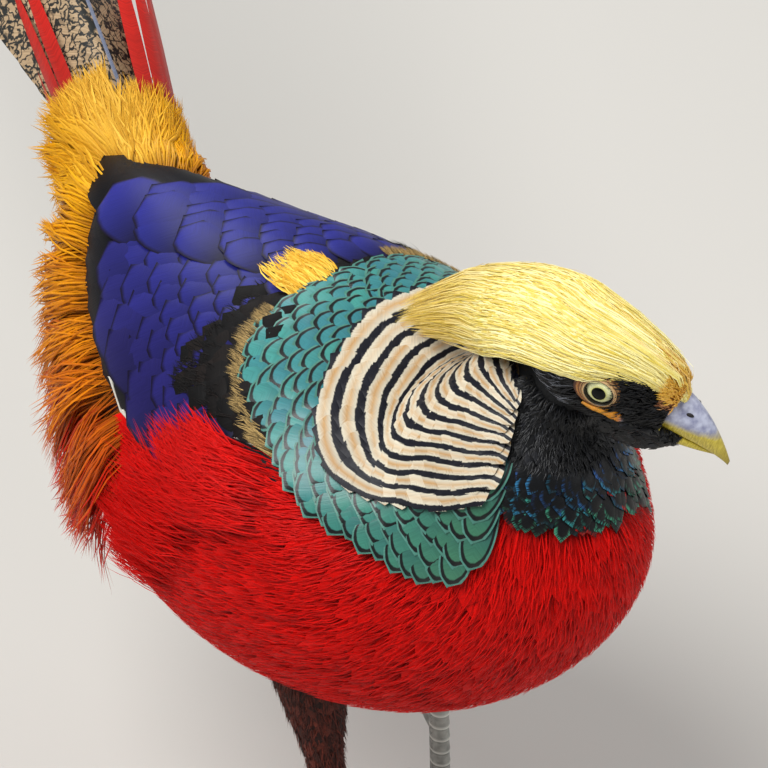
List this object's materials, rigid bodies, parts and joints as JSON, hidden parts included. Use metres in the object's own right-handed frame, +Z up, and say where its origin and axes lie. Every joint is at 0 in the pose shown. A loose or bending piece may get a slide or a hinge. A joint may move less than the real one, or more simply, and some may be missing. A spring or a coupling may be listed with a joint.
{
  "type": "golden pheasant",
  "caption": "Life-size still model of a male golden pheasant standing, with its head and long tail turned to its left.",
  "frame": {"origin": "centre of the model's box, at the floor under the feet", "axes": "+X the bird's left, -Y the way its body faces, +Y along the tail, +Z up"},
  "size_m": [0.2238, 0.9448, 0.3023],
  "materials": {
    "face": "black face feathers, golden crest",
    "eye": "pale yellow iris under a clear cornea",
    "bill": "grey-lilac and yellow horn",
    "cape": "straw cape feathers with blue-black bars",
    "red_plumage": "red breast, green mantle, brown back",
    "gold_plumage": "silky golden rump plumes",
    "tail": "black and buff netted tail feathers",
    "wing": "blue-violet and brown wing feathers",
    "thigh": "rusty brown thigh feathers",
    "shank": "grey scaled skin",
    "claw": "dark horn"
  },
  "bodies": {
    "root": {"head": "face", "eye_left": "eye", "eye_right": "eye", "bill_upper": "bill", "bill_lower": "bill", "neck": "cape", "torso": "red_plumage", "rump": "gold_plumage", "tail": "tail", "wing_left": "wing", "wing_right": "wing", "thigh_left": "thigh", "thigh_right": "thigh", "shank_left": "shank", "shank_right": "shank", "foot_left": "shank", "foot_right": "shank", "claw_left_inner": "claw", "claw_left_middle": "claw", "claw_left_outer": "claw", "claw_left_hind": "claw", "claw_right_inner": "claw", "claw_right_middle": "claw", "claw_right_outer": "claw", "claw_right_hind": "claw"}
  },
  "joints": []
}
